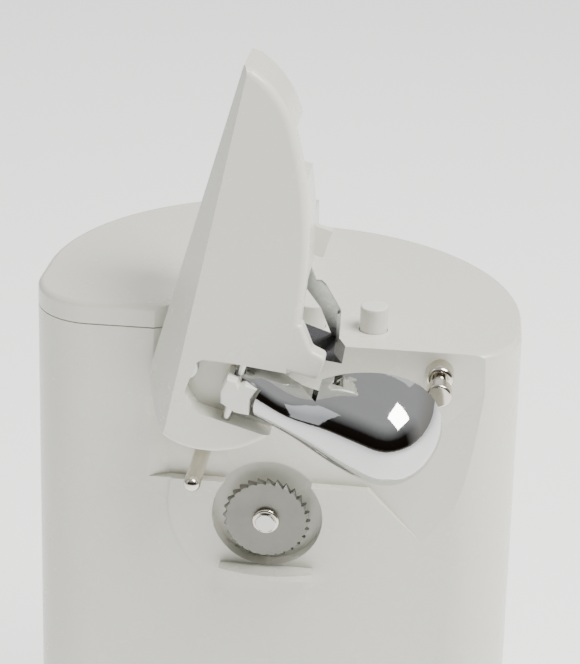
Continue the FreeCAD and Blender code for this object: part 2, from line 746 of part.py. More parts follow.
spacers = []
gearbox_screws = []
for number, (x, z) in enumerate(SPACER_SPOTS):
    spacers.append(tube("spacer_%d" % number, "Dims.spacer_radius", "Dims.screw_radius + 0.2",
                        "Dims.rear_sheet_place - Dims.front_sheet_place - Dims.sheet",
                        V(x, FRONT_SHEET + SHEET, z), ALONG_Y))
    shank = cylinder("gearbox_shank_%d" % number, "Dims.screw_radius",
                     "Dims.rear_sheet_place - Dims.front_sheet_place + Dims.sheet + 4.5",
                     V(x, FRONT_SHEET - 4.5, z), ALONG_Y)
    head = cylinder("gearbox_head_%d" % number, "3", "2", V(x, REAR_SHEET + SHEET, z), ALONG_Y)
    joined = doc.addObject("Part::Fuse", "gearbox_screw_%d" % number)
    joined.Base = shank
    joined.Tool = head
    gearbox_screws.append(joined)
keep(group("spacers", spacers), "gearbox_spacers")
keep(group("gearbox_screw_group", gearbox_screws), "gearbox_screws")

# ---------------------------------------------------------------- motor
STACK_FRONT = size("stack_front")
STACK_BACK = STACK_FRONT + size("stack_thickness")
LIMB_TOP = -33.0
LIMB_BOTTOM = -45.0
WINDOW_HALF = 19.0
ROTOR_SHAFT = size("rotor_shaft_radius")
AT_MOTOR = V(0, 0, MOTOR_Z)


def stack_shape():
    """The laminated stator: two side limbs, a bottom limb for the coil, and the rotor bore."""
    stack = block((-STACK_SIDE, STACK_FRONT, LIMB_BOTTOM), (STACK_SIDE, STACK_BACK, 19.0))
    corners = [e for e in stack.Edges if abs(e.BoundBox.YMax - e.BoundBox.YMin - size("stack_thickness")) < 0.01]
    stack = stack.makeFillet(3.0, corners)
    window = block((-WINDOW_HALF, STACK_FRONT - 1, LIMB_TOP), (WINDOW_HALF, STACK_BACK + 1, -16.5))
    stack = stack.cut(window)
    bore = size("rotor_radius") + size("air_gap")
    stack = stack.cut(rod_solid(bore, (0, STACK_FRONT - 1, 0), (0, STACK_BACK + 1, 0)))
    for x in MOTOR_SCREWS:
        stack = stack.cut(rod_solid(SCREW, (x, STACK_FRONT - 1, 0), (x, STACK_BACK + 1, 0)))
    return stack


def coil_ring(inner, outer, length):
    """A rectangular ring round the bottom limb."""
    ring = block((-length, STACK_FRONT - outer, LIMB_BOTTOM - outer), (length, STACK_BACK + outer, LIMB_TOP + outer))
    hole = block((-length - 1, STACK_FRONT - inner, LIMB_BOTTOM - inner),
                 (length + 1, STACK_BACK + inner, LIMB_TOP + inner))
    return ring.cut(hole)


def bobbin_shape():
    """The moulded former: a thin sleeve with a flange at each end."""
    build = size("coil_build")
    former = coil_ring(0.1, 1.1, 17.0)
    for side in (-1, 1):
        flange = coil_ring(0.1, build + 0.6, 0.8)
        flange.translate(V(side * 16.2, 0, 0))
        former = former.fuse(flange)
    return former.removeSplitter()


def winding_shape():
    """The wound copper, rounded along its outer edges."""
    build = size("coil_build")
    coil = coil_ring(1.1, build, 15.4)
    edges = [e for e in coil.Edges
             if e.BoundBox.XMax - e.BoundBox.XMin > 30
             and (e.BoundBox.YMin < STACK_FRONT - build + 0.1 or e.BoundBox.YMax > STACK_BACK + build - 0.1)]
    return coil.makeFillet(3.0, edges)


def bearing_bracket(place, stand_from, stand_to, hub_from, hub_to):
    """A strap across the motor with a hub for the bearing and a stand-off at each end."""
    end = MOTOR_SCREWS[1] + 5.0
    strap = block((-end, place, -8.0), (end, place + SHEET, 8.0))
    corners = [e for e in strap.Edges if abs(e.BoundBox.YMax - e.BoundBox.YMin - SHEET) < 0.01]
    strap = strap.makeFillet(4.0, corners)
    strap = strap.fuse(rod_solid(5.6, (0, hub_from, 0), (0, hub_to, 0)))
    for x in MOTOR_SCREWS:
        strap = strap.fuse(rod_solid(3.6, (x, stand_from, 0), (x, stand_to, 0)))
        strap = strap.cut(rod_solid(SCREW, (x, 0, 0), (x, FAR, 0)))
    return strap.cut(rod_solid(ROTOR_SHAFT + 2.0, (0, 0, 0), (0, FAR, 0))).removeSplitter()


FRONT_STRAP = REAR_SHEET + SHEET
REAR_STRAP = STACK_BACK + 3.0
keep(feature("stack", stack_shape(), AT_MOTOR), "stator_stack")
keep(feature("bobbin", bobbin_shape(), AT_MOTOR), "coil_bobbin")
keep(feature("winding", winding_shape(), AT_MOTOR), "coil_winding")
keep(feature("front_strap", bearing_bracket(FRONT_STRAP, FRONT_STRAP, STACK_FRONT, FRONT_STRAP, STACK_FRONT - 0.6),
             AT_MOTOR), "motor_front_bracket")
keep(feature("rear_strap", bearing_bracket(REAR_STRAP, STACK_BACK, REAR_STRAP + SHEET, STACK_BACK + 0.6,
                                           REAR_STRAP + SHEET + 2.0), AT_MOTOR), "motor_rear_bracket")
bearings = [
    ring_body("bearing_front", "Dims.rotor_shaft_radius + 2", "Dims.rotor_shaft_radius + Dims.running_gap", "3.6",
              V(0, FRONT_STRAP + 0.1, MOTOR_Z)),
    ring_body("bearing_rear", "Dims.rotor_shaft_radius + 2", "Dims.rotor_shaft_radius + Dims.running_gap", "5",
              V(0, STACK_BACK + 0.8, MOTOR_Z)),
]
keep(group("bearings", bearings), "motor_bearings")
keep(cylinder("rotor_rod", "Dims.rotor_shaft_radius", "44", V(0, -2.0, MOTOR_Z), ALONG_Y), "rotor_shaft")
keep(tube("rotor_body", "Dims.rotor_radius", "Dims.rotor_shaft_radius", "Dims.stack_thickness",
          V(0, STACK_FRONT, MOTOR_Z), ALONG_Y), "rotor_core")
motor_screws = []
for number, x in enumerate(MOTOR_SCREWS):
    shank = cylinder("motor_shank_%d" % number, "Dims.screw_radius", str(REAR_STRAP + SHEET - REAR_SHEET + 1.0),
                     V(x, REAR_SHEET - 1.0, MOTOR_Z), ALONG_Y)
    head = cylinder("motor_head_%d" % number, "3", "2", V(x, REAR_STRAP + SHEET, MOTOR_Z), ALONG_Y)
    joined = doc.addObject("Part::Fuse", "motor_screw_%d" % number)
    joined.Base = shank
    joined.Tool = head
    motor_screws.append(joined)
keep(group("motor_screw_group", motor_screws), "motor_screws")

# ---------------------------------------------------------------- plungers and switch
LINE = size("plunger_line")
FLANGE_TOP = SHELF - WALL - 0.4
FLANGE = 2.0
SPRING_TOP = FLANGE_TOP - FLANGE
BRACKET_TOP = BRACKET_Z
STEM = 2.0
SPRING_FOOT = 0.47


def plunger_shape(x):
    """A round button that stands out of the shelf, with a flange and a thin stem below."""
    tip = SHELF + size("plunger_height")
    radius = size("plunger_radius")
    button = rod_solid(radius, (x, LINE, SPRING_TOP), (x, LINE, tip))
    button = round_edges(button, 0.5, lambda e: level_edge(e, tip))
    button = button.fuse(rod_solid(radius + 1.6, (x, LINE, SPRING_TOP), (x, LINE, FLANGE_TOP)))
    return button.fuse(rod_solid(STEM, (x, LINE, BRACKET_TOP - SHEET - 2.2), (x, LINE, SPRING_TOP)))


def plunger_bracket_shape():
    """The plate under the shelf that guides the stems and carries the switch."""
    depth = 7.5
    plate = block((BRACKET_X[0] - 4, LINE - depth, BRACKET_TOP - 2.5), (BRACKET_X[1] + 4, LINE + depth, BRACKET_TOP))
    for x in BRACKET_X:
        plate = plate.cut(rod_solid(SCREW, (x, LINE, 0), (x, LINE, FAR * 2)))
    for x in PLUNGER_SPOTS.values():
        plate = plate.cut(rod_solid(STEM + 0.2, (x, LINE, 0), (x, LINE, FAR * 2)))
    return plate


def spring_shape():
    """An open coil spring that fits round a plunger's stem, drawn from its own foot."""
    wire = 0.45
    radius = 3.6
    tall = SPRING_TOP - BRACKET_TOP - 2 * SPRING_FOOT
    helix = Part.makeHelix(tall / 5.0, tall, radius)
    profile = Part.Wire([Part.makeCircle(wire, V(radius, 0, 0), V(0, 1, 0))])
    return Part.Wire(helix.Edges).makePipeShell([profile], True, False)


keep(feature("plunger_bracket_shape", plunger_bracket_shape()), "plunger_bracket")
for kind, x in PLUNGER_SPOTS.items():
    keep(feature(kind + "_plunger_shape", plunger_shape(x)), kind + "_plunger")
    keep(feature(kind + "_spring_shape", spring_shape(), V(x, LINE, BRACKET_TOP + SPRING_FOOT)), kind + "_spring")


def switch_body_shape():
    """A snap-action switch hung from the bracket, with its button towards one end and three tags."""
    x = PLUNGER_SPOTS["switch"]
    top = BRACKET_TOP - SHEET - 2.2 - size("plunger_travel") - 1.0
    low_end, high_end = x - 5.5, x + 14.5
    whole = block((low_end, LINE - 3.2, top - 9), (high_end, LINE + 3.2, top - 0.8))
    whole = whole.fuse(block((x - 1.5, LINE - 1.2, top - 0.9), (x + 1.5, LINE + 1.2, top + 0.4)))
    for place in (2.0, 9.5, 17.0):
        tag = block((low_end + place, LINE - 0.4, top - 12.5), (low_end + place + 2.4, LINE + 0.4, top - 8.9))
        whole = whole.fuse(tag)
    for place in (low_end + 0.2, high_end - 2.6):
        ear = block((place, LINE - 3.2, top - 1.0), (place + 2.4, LINE + 3.2, BRACKET_TOP - 2.5))
        whole = whole.fuse(ear)
    return whole.removeSplitter()


keep(feature("micro_switch_shape", switch_body_shape()), "power_switch")
bracket_screws = []
for number, x in enumerate(BRACKET_X):
    shank = cylinder("bracket_shank_%d" % number, "1.2", "12", V(x, LINE, BRACKET_TOP - 2.5))
    head = cylinder("bracket_head_%d" % number, "2.6", "1.6", V(x, LINE, BRACKET_TOP - 4.1))
    joined = doc.addObject("Part::Fuse", "bracket_screw_%d" % number)
    joined.Base = shank
    joined.Tool = head
    bracket_screws.append(joined)
keep(group("bracket_screw_group", bracket_screws), "bracket_screws")


# ---------------------------------------------------------------- posts on the front
def guide_pin_shape():
    """The long plain post that the top of the can runs against, round at its tip."""
    radius = size("guide_radius")
    x, z = size("guide_place"), size("guide_height")
    pin = rod_solid(radius, (x, -BACKING, z), (x, -size("guide_reach"), z))
    pin = round_edges(pin, radius - 0.15, lambda e: abs(e.BoundBox.YMax + size("guide_reach")) < 0.01)
    clinch = rod_solid(radius + 1.5, (x, -BACKING, z), (x, -BACKING + 1.2, z))
    return pin.fuse(clinch)


def catch_post_shape():
    """The headed post that the closed lever latches over: flange, neck and head."""
    x, z = size("post_place"), size("post_height")
    head = size("post_head_radius")
    reach = -size("post_reach")
    floor = -size("nest_floor") - 0.05
    post = rod_solid(2.0, (x, -BACKING, z), (x, reach + 1, z))
    rear = round_edges(rod_solid(head + 0.3, (x, floor, z), (x, floor - 5.5, z)), 1.2,
                       lambda e: abs(e.BoundBox.YMax - floor + 5.5) < 0.01)
    front = round_edges(rod_solid(head, (x, reach, z), (x, reach + 4.6, z)), 0.7,
                        lambda e: e.Length > 12)
    clinch = rod_solid(2.9, (x, -BACKING, z), (x, -BACKING + 1.2, z))
    return post.fuse(rear).fuse(front).fuse(clinch).removeSplitter()


keep(feature("guide_pin_shape", guide_pin_shape()), "guide_pin")
keep(feature("catch_post_shape", catch_post_shape()), "catch_post")

# ---------------------------------------------------------------- cutting lever
# The lever's pieces are drawn as they lie when it is closed, and are turned up about the pivot.
PIVOT = V(size("pivot_place"), 0, size("pivot_height"))
RAISE = FreeCAD.Rotation(V(0, -1, 0), size("lever_open_angle"))
RAISED = FreeCAD.Placement(PIVOT - RAISE.multVec(PIVOT), RAISE)
LEVER_FRONT = -size("lever_front")
LEVER_BACK = -size("lever_back")
LEVER_WALL = size("lever_wall")
TIP = size("lever_tip")
PIVOT_X, PIVOT_Z = PIVOT.x, PIVOT.z


def raised(name, shape, label):
    """Adds a lever piece and turns it up to the open position."""
    piece = feature(name, shape)
    piece.Placement = RAISED
    return keep(piece, label)


NOSE = V(TIP + 1.0, 0, TOP - 2.5)
CHIN = V(TIP - 9.5, 0, TOP - 16.2)
BELLY = V(TIP - 49.1, 0, TOP - 31.6)
HEEL_START = V(PIVOT_X - 9.2, 0, PIVOT_Z - 26.0)
HEEL_SIDE = V(PIVOT_X - size("heel_reach"), 0, PIVOT_Z - 6.4)


def smooth_arcs(start, heading, ends):
    """Arcs through a list of ends, each leaving in the direction the last one arrived in."""
    edges = []
    for end in ends:
        chord = end - start
        length = chord.Length
        chord.normalize()
        lean = heading.dot(chord)
        side = (heading - chord * lean).normalize()
        bulge = length / 2 * math.tan(math.acos(lean) / 2)
        middle = (start + end) * 0.5 + side * bulge
        edges.append(Part.Arc(start, middle, end).toShape())
        heading = (chord * (2 * lean) - heading).normalize()
        start = end
    return edges, heading


def lever_outline():
    """The side of the closed lever: straight top, blunt tip, long curved underside, round heel."""
    tip_top = V(TIP + 1.0, 0, TOP)
    heel_top = V(PIVOT_X - 9.0, 0, TOP)
    under, heading = smooth_arcs(NOSE, V(-0.3, 0, -0.954).normalize(), [CHIN, BELLY])
    heel_front = BELLY + heading * 16.9
    back, _ = smooth_arcs(HEEL_START, V(-0.85, 0, 0.527).normalize(), [HEEL_SIDE, heel_top])
    edges = [Part.LineSegment(tip_top, NOSE).toShape()]
    edges += under
    edges += [Part.LineSegment(BELLY, heel_front).toShape(), Part.LineSegment(heel_front, HEEL_START).toShape()]
    edges += back
    edges.append(Part.LineSegment(heel_top, tip_top).toShape())
    return Part.Wire(edges)


def lever_hollow():
    """The straight-sided room inside the lever, one wall in from its outline, open behind."""
    inset = LEVER_WALL
    roof = TOP - inset
    points = [(TIP - 2.2, roof), (TIP - 3.4, TOP - 7.0)]
    for drop, back in ((13.6, 11.2), (20.3, 22.4), (24.6, 34.0), (29.6, 50.0)):
        points.append((TIP - back, TOP - drop))
    points += [
        (PIVOT_X + 14.1, PIVOT_Z - 25.8 + inset), (PIVOT_X - 8.4, PIVOT_Z - 26.0 + inset),
        (PIVOT_X - 13.6, PIVOT_Z - 19.4), (PIVOT_X - 17.2, PIVOT_Z - 12.0),
        (PIVOT_X - size("heel_reach") + inset, PIVOT_Z - 5.6), (PIVOT_X - 16.6, PIVOT_Z + 1.0),
        (PIVOT_X - 13.0, PIVOT_Z + 4.6), (PIVOT_X - 8.6, roof)]
    return face_prism(points, LEVER_FRONT + inset, LEVER_BACK + 5.0)


def ridge_wedge():
    """What is cut off the front of the top: a flat slope, low at the heel and thin at the tip."""
    fall = size("ridge_fall")
    heel = V(PIVOT_X - 25.0, 0, 0)
    tip = V(TIP + 3.0, 0, 0)
    depth = LEVER_BACK - LEVER_FRONT
    tip_fall = 1.2
    slope = fall / depth
    ahead = 3.0
    low = Part.makePolygon([
        heel + V(0, LEVER_FRONT - ahead, TOP - fall - slope * ahead), heel + V(0, LEVER_BACK, TOP),
        heel + V(0, LEVER_FRONT - ahead, TOP + fall), heel + V(0, LEVER_FRONT - ahead, TOP - fall - slope * ahead)])
    high = Part.makePolygon([
        tip + V(0, LEVER_FRONT - ahead, TOP - tip_fall - slope * ahead),
        tip + V(0, LEVER_FRONT + tip_fall / slope, TOP),
        tip + V(0, LEVER_FRONT - ahead, TOP + fall),
        tip + V(0, LEVER_FRONT - ahead, TOP - tip_fall - slope * ahead)])
    return Part.makeLoft([low, high], True, True)


ARM_RECESS = [
    (PIVOT_X + 5.2, PIVOT_Z - 2.2), (PIVOT_X + 7.3, PIVOT_Z - 12.9), (PIVOT_X + 9.4, PIVOT_Z - 26.0),
    (PIVOT_X + 10.0, PIVOT_Z - 36.0), (PIVOT_X - 9.4, PIVOT_Z - 36.0), (PIVOT_X - 9.6, PIVOT_Z - 6.0),
    (PIVOT_X - 5.6, PIVOT_Z - 1.6)]
RECESS_FLOOR = LEVER_FRONT + 6.0
LIP = [(3.0, 198.0), (3.0, 195.6), (-2.6, 191.2), (-3.3, 187.2), (PIVOT_X + 9.9, 187.2), (PIVOT_X + 9.4, 198.0)]
SCREW_BOSSES = [(-4.0, 212.0), (22.0, 211.0)]


def soft_prism(points, radius, front, back):
    """A prism along Y whose long edges are rounded."""
    prism = face_prism(points, front, back)
    depth = abs(back - front)
    long_edges = [e for e in prism.Edges if e.BoundBox.YMax - e.BoundBox.YMin > depth / 2]
    return prism.makeFillet(radius, long_edges)


HINGE_Z = size("hinge_height")
HINGE_Y = -size("hinge_depth")
HINGE_PIN = size("hinge_pin_radius")
CATCH_X = size("post_place")
HUB_END = LEVER_FRONT + 3.0
PLATE_FRONT = LEVER_BACK - 1.6
PLATE = 1.2


def lever_shell_shape():
    """The moulded lever: hollow and open behind, with a deck that lies over the shelf when closed."""
    side = Part.Face(lever_outline())
    solid = side.extrude(V(0, LEVER_BACK - LEVER_FRONT, 0))
    solid.translate(V(0, LEVER_FRONT, 0))
    solid = round_edges(solid, size("lever_edge"), lambda e: abs(e.BoundBox.YMin - LEVER_FRONT) < 0.02
                        and abs(e.BoundBox.YMax - LEVER_FRONT) < 0.02)
    strip = ridge_wedge()
    solid = solid.cut(strip)
    lowered = strip.copy()
    lowered.translate(V(0, 0, -LEVER_WALL))
    shell = solid.cut(lever_hollow().cut(lowered))
    # a lip that runs down beside the pocket, the pocket's walls, the hub on the pivot, and ribs
    lip = soft_prism(LIP, 1.3, LEVER_FRONT, LEVER_FRONT + 4.4)
    lip = round_edges(lip, 1.2, lambda e: abs(e.BoundBox.YMax - LEVER_FRONT) < 0.02)
    recess = soft_prism(ARM_RECESS, 3.0, LEVER_FRONT - 12, RECESS_FLOOR)
    corners = [V(x, LEVER_FRONT, z) for x, z in ARM_RECESS]
    wall_face = Part.Face(Part.makePolygon(corners + corners[:1])).makeOffset2D(1.8)
    pocket_wall = wall_face.extrude(V(0, 8.0, 0)).common(solid)
    hub = rod_solid(7.8, (PIVOT_X, LEVER_FRONT + 2.0, PIVOT_Z), (PIVOT_X, LEVER_BACK, PIVOT_Z)).common(solid)
    shell = shell.fuse(pocket_wall).fuse(hub)
    for x, low in ((12.0, -23.0), (30.0, -18.0)):
        rib = block((x, LEVER_FRONT + 2.0, TOP + low), (x + 1.6, LEVER_BACK - 3.0, TOP - 1.0))
        shell = shell.fuse(rib.common(solid))
    for x, z in SCREW_BOSSES:
        shell = shell.fuse(rod_solid(2.9, (x, LEVER_FRONT + 2.0, z), (x, PLATE_FRONT, z)))
        shell = shell.cut(rod_solid(1.3, (x, PLATE_FRONT - 6.2, z), (x, 0, z)))
    shell = shell.fuse(lip).cut(recess)
    shell = shell.cut(rod_solid(size("pivot_radius") + RUN, (PIVOT_X, HUB_END, PIVOT_Z), (PIVOT_X, 0, PIVOT_Z)))
    shell = shell.cut(rod_solid(HINGE_PIN, (PIVOT_X - 11.2, HINGE_Y, HINGE_Z), (PIVOT_X + 9.2, HINGE_Y, HINGE_Z)))
    # slots in the underside for the cutter and for the catch post
    shell = shell.cut(block((-8.2, -43.0, 180), (13.6, 0, 200.4)))
    shell = shell.cut(block((CATCH_X - 6.6, -43.4, 200), (CATCH_X + 5.4, 0, 218.5)))
    # the deck over the shelf, with a pad above each plunger, and a stop tab on the back edge
    thick = size("deck_thickness")
    deck = block((STEP + 1.2, LEVER_BACK - 1.6, TOP - thick), (TIP - 3.0, -size("deck_back"), TOP))
    corner = [e for e in deck.Edges if e.BoundBox.XMin > TIP - 4 and e.BoundBox.YMin > -size("deck_back") - 1
              and e.BoundBox.ZMax - e.BoundBox.ZMin > thick - 0.1]
    deck = deck.makeFillet(12.0, corner)
    for x in PLUNGER_SPOTS.values():
        deck = deck.fuse(rod_solid(3.2, (x, LINE, SHELF + size("plunger_height") - size("plunger_travel") + 0.4),
                                   (x, LINE, TOP - thick + 0.1)))
    shell = shell.fuse(deck)
    tab = block((TIP - 44.0, LEVER_BACK - 2.4, TOP - 33.2), (TIP - 36.5, LEVER_BACK, TOP - 24.0))
    return shell.fuse(tab).removeSplitter()


raised("lever_shell_shape", lever_shell_shape(), "lever_shell")


# ---------------------------------------------------------------- cutter


KNIFE_FRONT = -41.5
KNIFE = [(-3.3, 204.0), (-3.9, 185.6), (-6.1, 182.6), (-6.9, 188.0), (-6.9, 204.0)]


def cutter_plate_shape():
    """The pressed steel carrier inside the lever, with a hooked arm that hangs below it."""
    points = [
        (PIVOT_X + 9.6, PIVOT_Z - 3.0), (30.0, 214.0), (30.0, 207.5), (15.6, 206.5), (12.9, 202.5),
        (12.1, 197.8), (9.0, 195.4),
        (9.4, 194.2), (8.7, 192.7), (3.2, 186.8), (-4.2, 184.8), (-6.2, 184.8), (-6.2, 186.2), (-4.6, 186.4),
        (2.4, 192.0), (6.6, 197.6), (2.4, 200.6), (-2.4, 204.6), (-8.6, 204.6), (PIVOT_X + 9.6, 208.0)]
    plate = face_prism(points, PLATE_FRONT, PLATE_FRONT + PLATE)
    hook_points = [(3.2, 186.8), (-4.2, 184.8), (-4.2, 185.6), (3.0, 187.6)]
    hook = face_prism(hook_points, PLATE_FRONT - 1.6, PLATE_FRONT + PLATE)
    plate = plate.fuse(hook).cut(face_prism([(x, z) for x, z in KNIFE], -FAR, 0))
    for x, z in SCREW_BOSSES:
        plate = plate.cut(rod_solid(1.3, (x, -60, z), (x, 0, z)))
    return plate.removeSplitter()


def cutter_knife_shape():
    """The hardened bar whose pointed end pierces and cuts the lid, set through the carrier."""
    return face_prism(KNIFE, KNIFE_FRONT, PLATE_FRONT + PLATE)


raised("cutter_plate_shape", cutter_plate_shape(), "cutter_plate")
raised("cutter_knife_shape", cutter_knife_shape(), "cutter_knife")

plate_screws = []
for x, z in SCREW_BOSSES:
    shank = rod_solid(1.3, (x, PLATE_FRONT - 6.0, z), (x, PLATE_FRONT + PLATE, z))
    plate_screws.append(shank.fuse(rod_solid(2.4, (x, PLATE_FRONT + PLATE, z), (x, PLATE_FRONT + PLATE + 1.2, z))))
raised("plate_screw_shapes", Part.makeCompound(plate_screws), "cutter_plate_screws")


# ---------------------------------------------------------------- lever pivot
def pivot_pin_shape():
    """The stud that the lever turns on, clinched into the housing's backing."""
    stud = rod_solid(size("pivot_radius"), (PIVOT_X, -BACKING, PIVOT_Z), (PIVOT_X, HUB_END + 0.4, PIVOT_Z))
    return stud.fuse(rod_solid(5.0, (PIVOT_X, -BACKING, PIVOT_Z), (PIVOT_X, -BACKING + 1.6, PIVOT_Z)))


keep(feature("pivot_pin_shape", pivot_pin_shape()), "lever_pivot_pin")
keep(ring_body("pivot_collar_body", "6", "Dims.pivot_radius", "Dims.lever_back - Dims.nest_floor - 0.15",
               V(PIVOT_X, LEVER_BACK + 0.1, PIVOT_Z)), "lever_pivot_collar")


# ---------------------------------------------------------------- magnet arm
ARM_X = PIVOT_X + 4.2
ARM_BACK = -48.9
NECK_BACK = -43.4
BULB_Z = size("bulb_height")
BULB_HALF = size("bulb_half_width")
BULB_DEPTH = size("bulb_depth")
ARM_END = BULB_Z - size("arm_bottom")
NECK_TOP = HINGE_Z + 1.6


def arm_section(height, place, half, depth):
    """A D-shaped section of the arm: flat behind and half an ellipse in front."""
    centre = V(place, NECK_BACK, height)
    if half >= depth:
        oval = Part.Ellipse(centre + V(half, 0, 0), centre + V(0, -depth, 0), centre)
        curve = Part.ArcOfEllipse(oval, 0.0, math.pi)
    else:
        oval = Part.Ellipse(centre + V(0, -depth, 0), centre + V(-half, 0, 0), centre)
        curve = Part.ArcOfEllipse(oval, -math.pi / 2, math.pi / 2)
    points = [curve.value(curve.FirstParameter + (curve.LastParameter - curve.FirstParameter) * k / 12)
              for k in range(13)]
    if points[0].x < points[-1].x:
        points.reverse()
    front = Part.BSplineCurve()
    front.interpolate(points)
    return Part.Wire([front.toShape(), Part.LineSegment(points[-1], points[0]).toShape()])


def magnet_arm_shape():
    """The cast arm: a smooth flat-backed drop that narrows to two hinge eyes."""
    neck = [(0.0, -3.9, 6.3, 4.4), (0.14, -3.9, 6.6, 7.2), (0.29, -3.7, 7.0, 10.0), (0.43, -3.0, 8.2, 13.0),
            (0.57, -1.4, 10.9, 16.4), (0.72, -0.5, 13.3, 19.5), (0.86, -0.1, BULB_HALF - 0.4, BULB_DEPTH - 1.2)]
    sections = [arm_section(NECK_TOP + (BULB_Z - NECK_TOP) * share, ARM_X + shift, half, depth)
                for share, shift, half, depth in neck]
    sections.append(arm_section(BULB_Z, ARM_X, BULB_HALF, BULB_DEPTH))
    for degrees in (22.0, 42.0, 58.0, 71.0, 81.0):
        turn = math.radians(degrees)
        sections.append(arm_section(BULB_Z - ARM_END * math.sin(turn), ARM_X, BULB_HALF * math.cos(turn),
                                    BULB_DEPTH * math.cos(turn)))
    arm = Part.makeLoft(sections, True, False)
    # the back is stepped forward below the neck, to pass in front of the guide pin
    profile = [(0.0, 196.6), (NECK_BACK - 0.4, 196.6), (ARM_BACK, 190.6), (ARM_BACK, 140.0), (0.0, 140.0)]
    corners = [V(-60, y, z) for y, z in profile]
    arm = arm.cut(Part.Face(Part.makePolygon(corners + corners[:1])).extrude(V(100, 0, 0)))
    # a square shoulder leaves room for the lever's lip
    arm = arm.cut(block((PIVOT_X + 8.0, -FAR, 186.4), (20, 0, FAR)))
    # room for the hinge block between the eyes, round the hinge line
    arm = arm.cut(rod_solid(7.8, (PIVOT_X - 5.2, HINGE_Y, HINGE_Z), (PIVOT_X + 3.8, HINGE_Y, HINGE_Z)))
    arm = arm.cut(rod_solid(HINGE_PIN + RUN, (-60, HINGE_Y, HINGE_Z), (20, HINGE_Y, HINGE_Z)))
    return arm.cut(rod_solid(size("magnet_radius"), (ARM_X, ARM_BACK - size("magnet_thickness"), BULB_Z),
                             (ARM_X, 0, BULB_Z)))


def hinge_block_shape():
    """The moulded knuckle that fills the gap between the arm's eyes, hooked on one side."""
    points = [
        (PIVOT_X + 3.5, 209.0), (PIVOT_X + 3.5, 206.4), (PIVOT_X + 2.1, 205.4), (PIVOT_X + 3.5, 204.2),
        (PIVOT_X + 3.5, 200.8), (PIVOT_X, 201.8), (PIVOT_X - 4.4, 200.8), (PIVOT_X - 4.9, 204.5),
        (PIVOT_X - 3.6, 208.6), (PIVOT_X - 0.5, 209.6)]
    knuckle = face_prism(points, -50.3, RECESS_FLOOR)
    front = [e for e in knuckle.Edges if e.BoundBox.YMax < -50.2]
    knuckle = knuckle.makeFillet(0.6, front)
    return knuckle.cut(rod_solid(HINGE_PIN, (-60, HINGE_Y, HINGE_Z), (20, HINGE_Y, HINGE_Z)))


raised("magnet_arm_shape", magnet_arm_shape(), "magnet_arm")
raised("magnet_shape", rod_solid(size("magnet_radius"), (ARM_X, ARM_BACK - size("magnet_thickness"), BULB_Z),
                                 (ARM_X, ARM_BACK - 0.05, BULB_Z)), "magnet")
raised("hinge_block_shape", hinge_block_shape(), "arm_hinge_block")
raised("hinge_pin_shape", rod_solid(HINGE_PIN, (PIVOT_X - 11.2, HINGE_Y, HINGE_Z),
                                    (PIVOT_X + 9.2, HINGE_Y, HINGE_Z)), "arm_hinge_pin")

# ---------------------------------------------------------------- check and export
doc.recompute()
os.makedirs("parts", exist_ok=True)
faults = []
for piece in PIECES:
    shape = piece.Shape
    if "Invalid" in piece.State or "Error" in piece.State:
        faults.append("%s: %s" % (piece.Label, piece.State))
    elif shape.isNull() or not shape.isValid() or not shape.Solids:
        faults.append("%s: shape null %s, solids %d" % (piece.Label, shape.isNull(), len(shape.Solids)))
    else:
        shape.exportStep("parts/%s.step" % piece.Label)
if faults:
    raise SystemExit("; ".join(faults))
print("%d pieces" % len(PIECES))
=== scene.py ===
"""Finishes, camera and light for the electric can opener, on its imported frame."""

import json
import math

import bmesh
import bpy
from bpy.props import FloatProperty, FloatVectorProperty, PointerProperty
from mathutils import Matrix, Vector


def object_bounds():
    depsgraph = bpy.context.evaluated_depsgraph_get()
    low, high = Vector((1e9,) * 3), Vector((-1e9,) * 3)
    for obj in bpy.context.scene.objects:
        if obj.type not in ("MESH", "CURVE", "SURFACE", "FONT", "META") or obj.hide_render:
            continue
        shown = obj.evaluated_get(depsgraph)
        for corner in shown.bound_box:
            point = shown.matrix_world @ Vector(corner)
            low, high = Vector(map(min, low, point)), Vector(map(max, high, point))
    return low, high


bl_info = {
    "name": "Can opener looks",
    "version": (1, 0, 0),
    "blender": (4, 5, 0),
    "location": "3D View > Sidebar > Can opener",
    "description": "Finishes, details, camera and light for the electric can opener",
    "category": "Object",
}

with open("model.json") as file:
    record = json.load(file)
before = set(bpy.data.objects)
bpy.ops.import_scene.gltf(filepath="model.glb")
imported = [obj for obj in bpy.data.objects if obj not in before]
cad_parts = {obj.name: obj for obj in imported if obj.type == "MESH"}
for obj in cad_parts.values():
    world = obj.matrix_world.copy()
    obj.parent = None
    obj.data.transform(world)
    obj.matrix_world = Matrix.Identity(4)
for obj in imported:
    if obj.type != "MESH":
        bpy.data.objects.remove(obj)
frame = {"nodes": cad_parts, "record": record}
NODES = frame["nodes"]
LOADED_BOUNDS = [tuple(corner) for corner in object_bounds()]
MM = 0.001

# pattern cells in millimetres
MOTTLE_MM = 35.0
HANDLING_MM = 9.0
STAIN_MM = 6.0
FLOOR_MM = 60.0
PLASTIC_BUMP = 0.35

# floor half width, and each light's place from the middle of the object with its width and height, in metres
FLOOR_HALF = 4.0
KEY_LIGHT = ((0.6, -0.3, 1.15), 0.7, 0.7)
FILL_LIGHT = ((-0.9, -0.4, 0.5), 0.5, 0.8)
BACK_LIGHT = ((0.1, 0.9, 0.7), 1.0, 0.5)


# ---------------------------------------------------------------- colour and node helpers
def srgb(code):
    """An sRGB hex code as a linear RGBA value."""
    channels = [int(code[k:k + 2], 16) / 255 for k in (1, 3, 5)]
    linear = [c / 12.92 if c <= 0.04045 else ((c + 0.055) / 1.055) ** 2.4 for c in channels]
    return (*linear, 1.0)


def waves_per_metre(millimetres):
    """The texture scale that makes one pattern cell this many millimetres across."""
    return 1000.0 / millimetres


